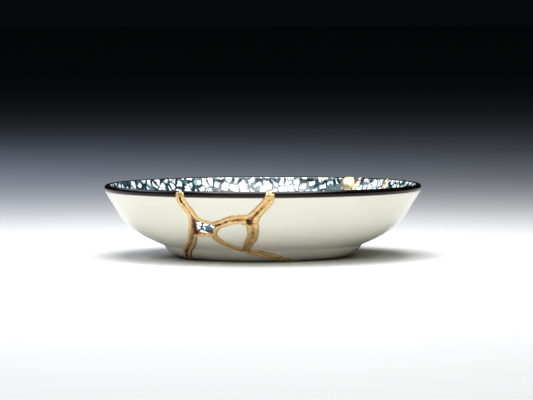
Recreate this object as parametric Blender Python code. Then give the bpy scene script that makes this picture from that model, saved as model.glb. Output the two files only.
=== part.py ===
"""A shallow porcelain dish, broken into six shards and mended with raised gold seams.

One lost shard leaves an open window through the front wall, a small chip leaves a notch in the back rim, and
a round gold fill closes the chip beside it. The dish stands on its turned foot: the origin is at the middle
of the foot on the table, +Z is up, and the mended front with the window faces -Y.
"""
import math

import bmesh
import bpy
from mathutils import Vector
from mathutils.bvhtree import BVHTree

MM = 0.001

# Driving sizes of the dish
RADIUS = 75.0 * MM
HEIGHT = 34.35 * MM
WALL = 3.0 * MM
FLOOR_THICKNESS = 3.0 * MM
FOOT_HEIGHT = 5.5 * MM
FOOT_RADIUS = 46.7 * MM
FOOT_LAND_RADIUS = 37.5 * MM
FOOT_LAND_WIDTH = 3.5 * MM
RECESS_HEIGHT = 3.0 * MM
RECESS_DRAFT = 1.5 * MM

# Driving sizes of the gold
BEAD_HEIGHT = 1.2 * MM
BEAD_WIDTH_OUTSIDE = 3.9 * MM
BEAD_WIDTH_INSIDE = 2.3 * MM
WEB = 1.2 * MM
WINDOW_LINING = 1.3 * MM
FILL_RADIUS = 3.75 * MM
CLEARANCE = 0.3 * MM

# Form of the wall, as shares of the run from the top of the foot to the rim
BELLY_OUT = 0.755
BELLY_UP = 0.54
SLOPE_AT_FOOT = 34.0
SLOPE_AT_BELLY = 60.0
HANDLE_AT_FOOT = 0.065
HANDLE_BELOW_BELLY = 0.27
HANDLE_ABOVE_BELLY = 0.255
HANDLE_AT_RIM = 0.06
FOOT_TURN = 0.45
FOOT_SHOULDER = 0.13

# How finely the turned forms are faceted
SEGMENTS = 60
FOOT_STEPS = 3
LOWER_WALL_STEPS = 4
UPPER_WALL_STEPS = 4
LIP_STEPS = 3
FLOOR_STEPS = 2
CRACK_STEPS = 1
FILL_SIDES = 24
FLAT_WITHIN = 1.0
MERGE_WITHIN = 0.005 * MM

# How far the cutters run, as shares of the way from the focus, of the dish's radius and of the cut's width
CURTAIN_START = 0.7
CURTAIN_STOP = 1.3
CURTAIN_STAGGER = 0.01
CURTAIN_OVERRUN = 0.3
PRISM_START = 0.4
PRISM_STOP = 1.4
PRISM_WALL = 0.88
FILL_DEPTH = 8 * WALL

# The cracks fan out from a focus on the axis, at twice the height of the dish. Each point is a bearing in
# degrees, from the front towards +X, and a reach: where the ray through it meets the table, as a share of the
# radius.
FOCUS = Vector((0.0, 0.0, 2.0 * HEIGHT))
BEYOND_RIM = 2.5
CENTRE = (-35.0, 0.10)
LEFT_FORK = (-27.3, 1.35)
LEFT_LOWER_FORK = (-30.3, 1.06)
WINDOW_UPPER_CORNER = (-18.5, 1.22)
WINDOW_LOWER_CORNER = (-21.6, 1.06)
RIGHT_FORK = (-4.6, 1.315)
LOWER_MEETING = (-9.6, 0.70)
BACK_FORK = (134.0, 0.56)

CRACKS = {
    "left": [
        (-30.4, BEYOND_RIM), (-30.4, 1.86), (-29.6, 1.65), (-28.5, 1.52), LEFT_FORK, (-28.6, 1.22),
        LEFT_LOWER_FORK, (-33.0, 0.955), (-37.2, 0.836), (-46.3, 0.70), (-51.8, 0.63), (-54.8, 0.54),
        (-55.0, 0.40), (-50.0, 0.25), CENTRE,
    ],
    "front_shard": [
        LEFT_FORK, (-25.0, 1.275), (-21.6, 1.23), WINDOW_UPPER_CORNER, (-15.3, 1.27), (-12.4, 1.31),
        (-9.2, 1.335), RIGHT_FORK,
    ],
    "right": [
        (2.8, BEYOND_RIM), (2.6, 1.86), (0.7, 1.65), (-1.4, 1.50), RIGHT_FORK, (-3.9, 1.19), (-4.2, 1.025),
        (-5.9, 0.907), LOWER_MEETING,
    ],
    "window_side": [WINDOW_UPPER_CORNER, (-20.1, 1.15), WINDOW_LOWER_CORNER],
    "window_foot": [LEFT_LOWER_FORK, (-26.0, 1.06), WINDOW_LOWER_CORNER],
    "lower": [
        WINDOW_LOWER_CORNER, (-20.7, 0.948), (-18.8, 0.873), (-15.7, 0.784), LOWER_MEETING, (-2.3, 0.661),
        (2.9, 0.637), (8.4, 0.606), (14.6, 0.568), (19.0, 0.52), (23.0, 0.40), (20.0, 0.22), CENTRE,
    ],
    "back_stem": [CENTRE, (170.0, 0.12), (146.0, 0.32), BACK_FORK],
    "back_seam": [
        BACK_FORK, (128.0, 0.78), (124.5, 1.10), (124.8, 1.50), (124.4, 1.75), (123.4, BEYOND_RIM),
    ],
    "back_notch": [
        BACK_FORK, (138.2, 0.78), (140.3, 1.10), (140.5, 1.50), (140.9, 1.75), (139.1, 1.96),
        (136.7, BEYOND_RIM),
    ],
}

# A place inside each shard, by the same bearing and reach
SHARD_SEEDS = {
    "shard_left": (-90.0, 1.3),
    "shard_right": (60.0, 1.2),
    "shard_front_rim": (-14.0, 1.6),
    "shard_teardrop": (-12.0, 1.05),
    "shard_front_foot": (-28.0, 0.8),
    "shard_back": (132.0, 1.3),
}

# The window's outline, as bearings and shares of the dish's height. It is cut level, towards the axis.
WINDOW_BEARING = -24.0
WINDOW_OUTLINE = [
    (-28.4, 0.602), (-26.6, 0.614), (-24.7, 0.577), (-22.3, 0.555), (-19.2, 0.543), (-19.9, 0.495),
    (-21.2, 0.452), (-24.7, 0.425), (-28.4, 0.434), (-29.0, 0.52),
]

# The chip fill and the notch, by bearing and share of the height
FILL_PLACE = (144.2, 0.905)
FILL_TILT = 33.0
NOTCH_OUTLINE = [(141.2, 0.915), (138.7, 1.0), (134.0, 1.16), (144.2, 1.16), (143.9, 1.0)]

PORCELAIN_COLOUR = (0.79, 0.77, 0.67, 1.0)
GOLD_COLOUR = (0.80, 0.49, 0.17, 1.0)


def material(name, colour, roughness, metallic):
    """A plain Principled material."""
    made = bpy.data.materials.new(name)
    made.use_nodes = True
    shader = made.node_tree.nodes["Principled BSDF"]
    shader.inputs["Base Color"].default_value = colour
    shader.inputs["Roughness"].default_value = roughness
    shader.inputs["Metallic"].default_value = metallic
    made.diffuse_color = colour
    return made


def add_object(name, mesh_data):
    made = bpy.data.objects.new(name, mesh_data)
    bpy.context.scene.collection.objects.link(made)
    return made


def object_from_bmesh(name, bm):
    mesh_data = bpy.data.meshes.new(name)
    bm.to_mesh(mesh_data)
    bm.free()
    return add_object(name, mesh_data)


def polar(start, angle, length):
    """The point at a length from start, in the direction of an angle in degrees."""
    turn = math.radians(angle)
    return (start[0] + length * math.cos(turn), start[1] + length * math.sin(turn))


def bezier(points, steps):
    """Points along a Bezier curve, with the first point left out."""
    made = []
    degree = len(points) - 1
    for step in range(1, steps + 1):
        t = step / steps
        weights = [math.comb(degree, k) * (1 - t) ** (degree - k) * t**k for k in range(degree + 1)]
        made.append(tuple(sum(w * p[axis] for w, p in zip(weights, points)) for axis in (0, 1)))
    return made


def outer_wall():
    """The outside of the wall from the top of the foot to the side of the lip, as radius and height."""
    foot_top = (FOOT_RADIUS, FOOT_HEIGHT)
    rim = (RADIUS, HEIGHT - WALL / 2)
    belly = (
        FOOT_RADIUS + BELLY_OUT * (rim[0] - FOOT_RADIUS),
        FOOT_HEIGHT + BELLY_UP * (rim[1] - FOOT_HEIGHT),
    )
    run = math.dist(foot_top, rim)
    lower = [
        foot_top,
        polar(foot_top, SLOPE_AT_FOOT, HANDLE_AT_FOOT * run),
        polar(belly, SLOPE_AT_BELLY + 180, HANDLE_BELOW_BELLY * run),
        belly,
    ]
    upper = [
        belly,
        polar(belly, SLOPE_AT_BELLY, HANDLE_ABOVE_BELLY * run),
        polar(rim, -90, HANDLE_AT_RIM * run),
        rim,
    ]
    return [foot_top] + bezier(lower, LOWER_WALL_STEPS) + bezier(upper, UPPER_WALL_STEPS)


def foot_outside():
    """The rounded outside of the foot, from the edge of its land up to the wall."""
    land = (FOOT_LAND_RADIUS, 0.0)
    spread = FOOT_RADIUS - FOOT_LAND_RADIUS
    shoulder = (FOOT_RADIUS - FOOT_SHOULDER * spread, FOOT_HEIGHT / 2)
    handle = (FOOT_LAND_RADIUS + FOOT_TURN * spread, 0.0)
    return [land] + bezier([land, handle, shoulder, (FOOT_RADIUS, FOOT_HEIGHT)], FOOT_STEPS)[:-1]


def underside():
    """The recessed base and the land of the foot, from the axis outwards."""
    land_inner = FOOT_LAND_RADIUS - FOOT_LAND_WIDTH
    return [(0.0, RECESS_HEIGHT), (land_inner - RECESS_DRAFT, RECESS_HEIGHT), (land_inner, 0.0)]


def normals_of(points):
    """The unit normal of each point of an open outline, to the right of its run."""
    made = []
    for k in range(len(points)):
        before = points[max(k - 1, 0)]
        after = points[min(k + 1, len(points) - 1)]
        run = (after[0] - before[0], after[1] - before[1])
        length = math.hypot(*run)
        made.append((run[1] / length, -run[0] / length))
    return made


def shifted(points, distance):
    """An open outline moved along its normals. A point on the axis stays on it."""
    made = []
    for point, normal in zip(points, normals_of(points)):
        radius = point[0] + distance * normal[0]
        if point[0] == 0.0:
            radius = 0.0
        made.append((radius, point[1] + distance * normal[1]))
    return made


def lip(start, end):
    """The round lip, in degrees about the middle of the wall's edge."""
    centre = (RADIUS - WALL / 2, HEIGHT - WALL / 2)
    return [polar(centre, start + (end - start) * k / LIP_STEPS, WALL / 2) for k in range(LIP_STEPS + 1)]


def outside_profile():
    """The whole outside, from the middle of the underside to the top of the lip."""
    return underside() + foot_outside() + outer_wall()[:-1] + lip(0, 90)


def inside_profile():
    """The whole inside, from the top of the lip down to the middle of the floor."""
    wall = shifted(outer_wall(), -WALL)
    floor_height = RECESS_HEIGHT + FLOOR_THICKNESS
    low = wall[0]
    slope = math.tan(math.radians(SLOPE_AT_FOOT))
    meeting = (low[0] - (low[1] - floor_height) / slope, floor_height)
    flat = (2 * meeting[0] - low[0], floor_height)
    turn = bezier([low, meeting, flat], FLOOR_STEPS)
    rising = [point for point in wall if point[1] < HEIGHT - WALL]
    return lip(90, 180) + rising[::-1] + turn + [(0.0, floor_height)]


def turned(name, outside_shift, inside_shift):
    """The dish as one turned solid, with its outside and its inside each moved out by a distance."""
    profile = shifted(outside_profile(), outside_shift) + shifted(inside_profile(), inside_shift)
    bm = bmesh.new()
    ring = [bm.verts.new((radius, 0.0, height)) for radius, height in profile]
    for k in range(len(ring) - 1):
        bm.edges.new((ring[k], ring[k + 1]))
    bmesh.ops.spin(
        bm, geom=bm.verts[:] + bm.edges[:], cent=(0, 0, 0), axis=(0, 0, 1), dvec=(0, 0, 0),
        angle=math.tau, steps=SEGMENTS, use_merge=True,
    )
    bmesh.ops.remove_doubles(bm, verts=bm.verts[:], dist=MERGE_WITHIN)
    bmesh.ops.recalc_face_normals(bm, faces=bm.faces[:])
    return object_from_bmesh(name, bm)


def on_table(bearing, reach):
    """Where the ray through a crack's point meets the table."""
    turn = math.radians(bearing)
    return Vector((math.sin(turn), -math.cos(turn), 0.0)) * reach * RADIUS


def smooth_run(points):
    """A smooth curve through a crack's points, on the table (a Catmull-Rom spline)."""
    knots = [on_table(*point) for point in points]
    knots = [2 * knots[0] - knots[1]] + knots + [2 * knots[-1] - knots[-2]]
    made = [knots[1]]
    for k in range(1, len(knots) - 2):
        a, b, c, d = knots[k - 1 : k + 3]
        for step in range(1, CRACK_STEPS + 1):
            t = step / CRACK_STEPS
            bend = (2 * a - 5 * b + 4 * c - d) * t**2
            twist = (3 * b - a - 3 * c + d) * t**3
            made.append(0.5 * (2 * b + (c - a) * t + bend + twist))
    return made


def curtain(name, points, width, order):
    """A thin closed wall that follows a crack, from inside the dish to outside it, along rays from the focus.

    Each curtain has its own order, and so its own depth, which keeps the ends of two curtains out of one
    plane.
    """
    run = smooth_run(points)
    start = (CURTAIN_START - CURTAIN_STAGGER * order) * FOCUS.z
    stop = (CURTAIN_STOP + CURTAIN_STAGGER * order) * math.hypot(RADIUS, FOCUS.z)
    bm = bmesh.new()
    sections = []
    for k, point in enumerate(run):
        ray = (point - FOCUS).normalized()
        along = run[min(k + 1, len(run) - 1)] - run[max(k - 1, 0)]
        side = ray.cross(along).normalized() * width / 2
        corners = [(start, -1), (start, 1), (stop, 1), (stop, -1)]
        if k in (0, len(run) - 1):
            outwards = along.normalized() * (-1 if k == 0 else 1) * CURTAIN_OVERRUN * width
        else:
            outwards = Vector()
        sections.append([bm.verts.new(FOCUS + ray * far + side * way + outwards) for far, way in corners])
    for here, there in zip(sections, sections[1:]):
        for k in range(4):
            bm.faces.new((here[k], here[(k + 1) % 4], there[(k + 1) % 4], there[k]))
    bm.faces.new(sections[0])
    bm.faces.new(sections[-1])
    bmesh.ops.triangulate(bm, faces=bm.faces[:])
    bmesh.ops.recalc_face_normals(bm, faces=bm.faces[:])
    return object_from_bmesh(name, bm)


def level_prism(name, bearing, outline, grown):
    """A prism cut level towards the axis, its outline given by bearings and shares of the height."""
    turn = math.radians(bearing)
    outwards = Vector((math.sin(turn), -math.cos(turn), 0.0))
    sideways = Vector((math.cos(turn), math.sin(turn), 0.0))
    flat = []
    for point_bearing, share in outline:
        aside = PRISM_WALL * RADIUS * math.sin(math.radians(point_bearing - bearing))
        flat.append(Vector((aside, share * HEIGHT)))
    middle = sum(flat, Vector((0.0, 0.0))) / len(flat)
    bm = bmesh.new()
    ends = []
    for distance in (PRISM_START * RADIUS, PRISM_STOP * RADIUS):
        ring = []
        for point in flat:
            moved = point + (point - middle).normalized() * grown
            ring.append(bm.verts.new(outwards * distance + sideways * moved.x + Vector((0, 0, moved.y))))
        ends.append(ring)
    count = len(flat)
    for k in range(count):
        bm.faces.new((ends[0][k], ends[0][(k + 1) % count], ends[1][(k + 1) % count], ends[1][k]))
    bm.faces.new(ends[0])
    bm.faces.new(ends[1])
    bmesh.ops.recalc_face_normals(bm, faces=bm.faces[:])
    return object_from_bmesh(name, bm)


def fill_cylinder(name, grown):
    """The round of the chip fill, square to the wall under the rim."""
    bearing, share = FILL_PLACE
    turn = math.radians(bearing)
    outwards = Vector((math.sin(turn), -math.cos(turn), 0.0))
    tilt = math.radians(FILL_TILT)
    axis = outwards * math.cos(tilt) - Vector((0, 0, math.sin(tilt)))
    centre = outwards * (RADIUS - WALL) + Vector((0, 0, share * HEIGHT))
    bm = bmesh.new()
    bmesh.ops.create_cone(
        bm, cap_ends=True, segments=FILL_SIDES, radius1=FILL_RADIUS + grown, radius2=FILL_RADIUS + grown,
        depth=FILL_DEPTH,
    )
    turned_axis = Vector((0, 0, 1)).rotation_difference(axis).to_matrix()
    bmesh.ops.transform(bm, matrix=turned_axis.to_4x4(), verts=bm.verts[:])
    bmesh.ops.translate(bm, vec=centre, verts=bm.verts[:])
    return object_from_bmesh(name, bm)


def boolean(target, other, operation):
    """Applies one exact Boolean to the target and removes the other object."""
    modifier = target.modifiers.new("cut", "BOOLEAN")
    modifier.operation = operation
    modifier.solver = "EXACT"
    modifier.object = other
    bpy.context.view_layer.update()
    evaluated = target.evaluated_get(bpy.context.evaluated_depsgraph_get())
    result = bpy.data.meshes.new_from_object(evaluated)
    target.modifiers.clear()
    target.data = result
    bpy.data.objects.remove(other, do_unlink=True)
    return target


def crack_network(name, width, window_grown):
    """All the cracks as one cutter of a width, with the window's prism in it."""
    network = level_prism(name, WINDOW_BEARING, WINDOW_OUTLINE, window_grown)
    for order, (crack, points) in enumerate(CRACKS.items()):
        boolean(network, curtain(crack, points, width, order), "UNION")
    return network


def drop_fins(bm):
    """Removes pairs of faces that lie on the same corners and enclose nothing."""
    seen = {}
    fins = []
    for face in bm.faces:
        corners = frozenset(face.verts)
        if corners in seen:
            fins += [face, seen.pop(corners)]
        else:
            seen[corners] = face
    bmesh.ops.delete(bm, geom=fins, context="FACES")


def tidy_mesh(target):
    """Merges what the cuts left doubled and joins flat neighbours."""
    bm = bmesh.new()
    bm.from_mesh(target.data)
    bmesh.ops.remove_doubles(bm, verts=bm.verts[:], dist=MERGE_WITHIN)
    bmesh.ops.dissolve_degenerate(bm, edges=bm.edges[:], dist=MERGE_WITHIN)
    bmesh.ops.dissolve_limit(bm, angle_limit=math.radians(FLAT_WITHIN), verts=bm.verts[:], edges=bm.edges[:])
    bmesh.ops.triangulate(bm, faces=bm.faces[:])
    drop_fins(bm)
    bm.to_mesh(target.data)
    bm.free()


def islands_of(mesh_data):
    """The faces of each loose part of a mesh."""
    bm = bmesh.new()
    bm.from_mesh(mesh_data)
    unseen = set(bm.faces)
    parts = []
    while unseen:
        queue = [unseen.pop()]
        part = []
        while queue:
            face = queue.pop()
            part.append(face)
            for edge in face.edges:
                for other in edge.link_faces:
                    if other in unseen:
                        unseen.remove(other)
                        queue.append(other)
        parts.append(part)
    return bm, parts


def part_from_faces(name, faces):
    """A new object from some faces of a bmesh."""
    made = bmesh.new()
    copies = {}
    for face in faces:
        for vert in face.verts:
            if vert not in copies:
                copies[vert] = made.verts.new(vert.co)
        made.faces.new([copies[vert] for vert in face.verts])
    return object_from_bmesh(name, made)


def keep_largest(target):
    """Drops loose crumbs that the cuts leave beside the main piece."""
    bm, parts = islands_of(target.data)
    parts.sort(key=len)
    bmesh.ops.delete(bm, geom=[face for part in parts[:-1] for face in part], context="FACES")
    bm.to_mesh(target.data)
    bm.free()


def make_shards(porcelain):
    """The dish cut along its cracks. Each seed names the loose part that its ray meets; the rest is lost."""
    dish = turned("dish", 0.0, 0.0)
    boolean(dish, crack_network("cracks", WEB + 2 * CLEARANCE, WINDOW_LINING + CLEARANCE), "DIFFERENCE")
    boolean(dish, fill_cylinder("chip", CLEARANCE), "DIFFERENCE")
    boolean(dish, level_prism("notch", FILL_PLACE[0], NOTCH_OUTLINE, CLEARANCE), "DIFFERENCE")
    tidy_mesh(dish)
    bm, parts = islands_of(dish.data)
    for name, seed in SHARD_SEEDS.items():
        ray = (on_table(*seed) - FOCUS).normalized()
        nearest = None
        for part in parts:
            tree_verts = []
            tree_faces = []
            for face in part:
                tree_faces.append([len(tree_verts) + k for k in range(len(face.verts))])
                tree_verts.extend(vert.co for vert in face.verts)
            hit = BVHTree.FromPolygons(tree_verts, tree_faces).ray_cast(FOCUS, ray)
            if hit[0] is not None and (nearest is None or hit[3] < nearest[0]):
                nearest = (hit[3], part)
        shard = part_from_faces(name, nearest[1])
        shard.data.materials.append(porcelain)
    bm.free()
    bpy.data.objects.remove(dish, do_unlink=True)


def make_gold_seams(gold):
    """One network of gold: a web in every crack, a wide bead outside it and a narrow one inside."""
    seams = turned("gold_seams", BEAD_HEIGHT, -WALL / 3)
    boolean(seams, crack_network("outside_band", BEAD_WIDTH_OUTSIDE, BEAD_WIDTH_OUTSIDE / 2), "INTERSECT")
    inner = turned("inner_bead", -WALL / 3, BEAD_HEIGHT)
    boolean(inner, crack_network("inside_band", BEAD_WIDTH_INSIDE, BEAD_WIDTH_INSIDE), "INTERSECT")
    boolean(seams, inner, "UNION")

    porcelain_room = turned("porcelain_room", CLEARANCE, CLEARANCE)
    boolean(porcelain_room, crack_network("webs", WEB, WINDOW_LINING), "DIFFERENCE")
    boolean(seams, porcelain_room, "DIFFERENCE")

    boolean(seams, level_prism("window", WINDOW_BEARING, WINDOW_OUTLINE, 0.0), "DIFFERENCE")
    boolean(seams, fill_cylinder("fill_room", CLEARANCE), "DIFFERENCE")
    boolean(seams, level_prism("notch", FILL_PLACE[0], NOTCH_OUTLINE, 0.0), "DIFFERENCE")
    boolean(seams, ground("table"), "DIFFERENCE")
    keep_largest(seams)
    tidy_mesh(seams)
    seams.data.materials.append(gold)
    return seams


def ground(name):
    """A block under the dish, so that only the porcelain of the foot touches the table."""
    top = CLEARANCE / 2
    bm = bmesh.new()
    bmesh.ops.create_cube(bm, size=1.0)
    bmesh.ops.scale(bm, vec=(3 * RADIUS, 3 * RADIUS, HEIGHT), verts=bm.verts[:])
    bmesh.ops.translate(bm, vec=(0, 0, top - HEIGHT / 2), verts=bm.verts[:])
    return object_from_bmesh(name, bm)


def make_gold_fill(gold):
    """The round fill of a lost chip, as thick as the wall with a bead's height on each side."""
    fill = turned("gold_chip_fill", BEAD_HEIGHT, BEAD_HEIGHT)
    boolean(fill, fill_cylinder("round", 0.0), "INTERSECT")
    tidy_mesh(fill)
    fill.data.materials.append(gold)
    return fill


def main():
    for old in list(bpy.data.objects):
        bpy.data.objects.remove(old, do_unlink=True)
    porcelain = material("glazed_porcelain", PORCELAIN_COLOUR, roughness=0.12, metallic=0.0)
    gold = material("gold_lacquer", GOLD_COLOUR, roughness=0.28, metallic=1.0)
    make_shards(porcelain)
    make_gold_seams(gold)
    make_gold_fill(gold)


main()
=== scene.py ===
"""Looks of a shallow porcelain dish, broken into shards and mended with raised gold seams.

The dish is turned from one outline and cut along its cracks into six shards. The gold is beads of lacquer
laid along every shard's broken edge, joined by thin webs through the wall. Sizes are in metres, angles in
degrees.
"""
import math

import bpy
import numpy as np
from mathutils import Matrix, Quaternion, Vector, noise


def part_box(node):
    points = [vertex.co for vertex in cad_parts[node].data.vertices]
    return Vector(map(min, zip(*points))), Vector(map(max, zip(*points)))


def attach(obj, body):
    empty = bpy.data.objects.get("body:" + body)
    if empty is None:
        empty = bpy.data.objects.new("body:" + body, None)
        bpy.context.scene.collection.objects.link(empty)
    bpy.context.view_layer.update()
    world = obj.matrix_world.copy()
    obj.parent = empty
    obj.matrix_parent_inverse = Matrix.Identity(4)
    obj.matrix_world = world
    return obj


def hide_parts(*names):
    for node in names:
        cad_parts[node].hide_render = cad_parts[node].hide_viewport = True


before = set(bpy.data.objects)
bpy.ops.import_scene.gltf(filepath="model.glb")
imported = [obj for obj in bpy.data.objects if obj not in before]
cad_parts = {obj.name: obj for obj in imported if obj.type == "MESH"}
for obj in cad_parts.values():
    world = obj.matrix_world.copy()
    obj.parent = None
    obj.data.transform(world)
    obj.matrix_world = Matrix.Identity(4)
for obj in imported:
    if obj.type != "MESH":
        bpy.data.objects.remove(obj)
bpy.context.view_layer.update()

MM = 0.001

# Sizes read from the frame
BIG_SHARD_LOW, BIG_SHARD_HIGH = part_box("shard_left")
RADIUS = -BIG_SHARD_LOW[0]
HEIGHT = BIG_SHARD_HIGH[2]

# Sizes of the porcelain
WALL = 3.0 * MM
FLOOR_THICKNESS = 3.0 * MM
FOOT_HEIGHT = 5.5 * MM
FOOT_RADIUS = 46.7 * MM
FOOT_LAND_RADIUS = 37.5 * MM
FOOT_LAND_WIDTH = 3.5 * MM
RECESS_HEIGHT = 3.0 * MM
RECESS_DRAFT = 1.5 * MM
BAND_OUTSIDE = 2.85 * MM
BAND_INSIDE = 0.4 * MM

# One unit of the print's map
PRINT_UNIT = 100 * MM

# Form of the wall, as shares of the run from the top of the foot to the rim
BELLY_OUT = 0.755
BELLY_UP = 0.54
SLOPE_AT_FOOT = 34.0
SLOPE_AT_BELLY = 60.0
HANDLE_AT_FOOT = 0.065
HANDLE_BELOW_BELLY = 0.27
HANDLE_ABOVE_BELLY = 0.255
HANDLE_AT_RIM = 0.06
FOOT_TURN = 0.45
FOOT_SHOULDER = 0.13
SEGMENTS = 192
CURVE_STEPS = 14
LIP_STEPS = 8
FLOOR_STEPS = 6

# Sizes of the gold. Each shard's edge carries its own bead, so a seam is two beads with a groove between.
WEB = 1.2 * MM
BEAD_RELIEF = 0.85 * MM
BEAD_RELIEF_ON_LIP = 0.15 * MM
BEAD_RADIUS_SHARE = 0.24
BEAD_PLACE_SHARE = 0.28
BEAD_SPACING = 0.6 * MM
BEAD_SWELL = 0.16
LONG_WAVER = 3.0 * MM
SHORT_WAVER = 1.3 * MM
CORNER_ROUNDING = 18
LIP_FADE_START = 4.0 * MM
LIP_FADE = 3.0 * MM
GROOVE_FILL = 0.55 * MM
GROOVE_FILL_TOP = 0.05 * MM
GROOVE_FILL_SWING = 0.9 * MM
GROOVE_FILL_WAVE = 3.5 * MM
GROOVE_DEPTH_LEAST = 0.2 * MM
INSIDE_BEAD = 0.66 * MM
THIN_INSIDE_BEAD = 0.34 * MM
INSIDE_RELIEF = 0.5 * MM
LIP_WRAP = 4.0 * MM
LIP_WRAP_THINNING = 0.45
LIP_WRAP_SINKING = 0.6
GOLD_VOXEL = 0.25 * MM
LUMP, LUMP_HEIGHT = 1.9 * MM, 0.42 * MM
GRAIN, GRAIN_HEIGHT = 0.8 * MM, 0.30 * MM
GOLD_SUNK = 0.35 * MM
WEB_SUNK = 0.1 * MM
TABLE_GAP = 0.1 * MM
WINDOW_LINING = 1.2 * MM
LINING_SUNK = 0.45 * MM
FILL_RADIUS = 3.75 * MM
FILL_SIDES = 64
FILL_ROOM = 0.05 * MM
FILL_PROUD = 0.5 * MM
FILL_DOME = (3.95 * MM, 3.95 * MM, 2.35 * MM)
FILL_VOXEL = 0.25 * MM

# Width of the gold outside along each crack, at its start and its end, in millimetres
GOLD_WIDTHS = {
    "left_upper": (5.3, 3.9),
    "left_window": (4.0, 4.2),
    "left_lower": (4.5, 4.5),
    "window_top": (3.5, 3.8),
    "drop_top": (4.0, 5.0),
    "right_upper": (5.0, 4.5),
    "drop_side": (5.3, 4.8),
    "window_side": (4.3, 4.2),
    "window_foot": (3.7, 3.7),
    "drop_foot": (3.9, 3.2),
    "lower": (3.1, 3.6),
    "back_stem": (3.4, 3.4),
    "back_seam": (3.4, 1.5),
    "back_notch": (3.4, 1.5),
}

# The cracks fan out from a focus on the axis, at twice the height of the dish. Each point is a bearing in
# degrees, from the front towards +X, and a reach: where the ray through it meets the table, as a share of the
# radius.
FOCUS = Vector((0.0, 0.0, 2.0 * HEIGHT))
BEYOND_RIM = 2.5
CENTRE = (-35.0, 0.10)
LEFT_FORK = (-27.3, 1.35)
LEFT_LOWER_FORK = (-30.3, 1.06)
WINDOW_UPPER_CORNER = (-18.5, 1.22)
WINDOW_LOWER_CORNER = (-21.6, 1.06)
RIGHT_FORK = (-4.6, 1.315)
LOWER_MEETING = (-9.6, 0.70)
BACK_FORK = (134.0, 0.56)

CRACKS = {
    "left_upper": [(-30.4, BEYOND_RIM), (-30.4, 1.86), (-29.6, 1.65), (-28.5, 1.52), LEFT_FORK],
    "left_window": [LEFT_FORK, (-28.6, 1.22), LEFT_LOWER_FORK],
    "left_lower": [
        LEFT_LOWER_FORK, (-33.0, 0.955), (-37.2, 0.836), (-46.3, 0.70), (-51.8, 0.63), (-54.8, 0.54),
        (-55.0, 0.40), (-50.0, 0.25), CENTRE,
    ],
    "window_top": [LEFT_FORK, (-25.0, 1.275), (-21.6, 1.23), WINDOW_UPPER_CORNER],
    "drop_top": [WINDOW_UPPER_CORNER, (-15.3, 1.27), (-12.4, 1.31), (-9.2, 1.335), RIGHT_FORK],
    "right_upper": [(2.8, BEYOND_RIM), (2.6, 1.86), (0.7, 1.65), (-1.4, 1.50), RIGHT_FORK],
    "drop_side": [RIGHT_FORK, (-3.9, 1.19), (-4.2, 1.025), (-5.9, 0.907), LOWER_MEETING],
    "window_side": [WINDOW_UPPER_CORNER, (-20.1, 1.15), WINDOW_LOWER_CORNER],
    "window_foot": [LEFT_LOWER_FORK, (-26.0, 1.06), WINDOW_LOWER_CORNER],
    "drop_foot": [WINDOW_LOWER_CORNER, (-20.7, 0.948), (-18.8, 0.873), (-15.7, 0.784), LOWER_MEETING],
    "lower": [
        LOWER_MEETING, (-2.3, 0.661), (2.9, 0.637), (8.4, 0.606), (14.6, 0.568), (19.0, 0.52), (23.0, 0.40),
        (20.0, 0.22), CENTRE,
    ],
    "back_stem": [CENTRE, (170.0, 0.12), (146.0, 0.32), BACK_FORK],
    "back_seam": [
        BACK_FORK, (128.0, 0.78), (124.5, 1.10), (124.8, 1.50), (124.4, 1.75), (123.4, BEYOND_RIM),
    ],
    "back_notch": [
        BACK_FORK, (138.2, 0.78), (140.3, 1.10), (140.5, 1.50), (140.9, 1.75), (139.1, 1.96),
        (136.7, BEYOND_RIM),
    ],
}
THIN_INSIDE = ("back_notch",)

# A crack's wall runs between these shares of the way from the focus to the table
CURTAIN_TOP = 0.45
CURTAIN_FOOT = 1.05

# The broken edge of each shard, as cracks walked with the shard on the left, seen from above. A minus walks a
# crack backwards.
SHARD_EDGES = {
    "shard_left": ["left_upper", "left_window", "left_lower", "back_stem", "back_notch"],
    "shard_right": ["-back_seam", "-back_stem", "-lower", "-drop_side", "-right_upper"],
    "shard_front_rim": ["right_upper", "-drop_top", "-window_top", "-left_upper"],
    "shard_teardrop": ["drop_top", "drop_side", "-drop_foot", "-window_side"],
    "shard_front_foot": ["window_foot", "drop_foot", "lower", "-left_lower"],
    "shard_back": ["-back_notch", "back_seam"],
}
CLOSED_EDGES = ("shard_teardrop", "shard_front_foot")
SHARD_SEEDS = {
    "shard_left": (-90.0, 1.3),
    "shard_right": (60.0, 1.2),
    "shard_front_rim": (-14.0, 1.6),
    "shard_teardrop": (-12.0, 1.05),
    "shard_front_foot": (-28.0, 0.8),
    "shard_back": (132.0, 1.3),
}

# Places where the gold spreads, with how much wider it is there
SPREADS = {
    RIGHT_FORK: 2.4 * MM,
    LEFT_FORK: 0.5 * MM,
    LEFT_LOWER_FORK: 0.5 * MM,
    LOWER_MEETING: 0.4 * MM,
    (-51.5, 0.63): 0.9 * MM,
}
SPREAD_REACH = 3.8 * MM

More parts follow.
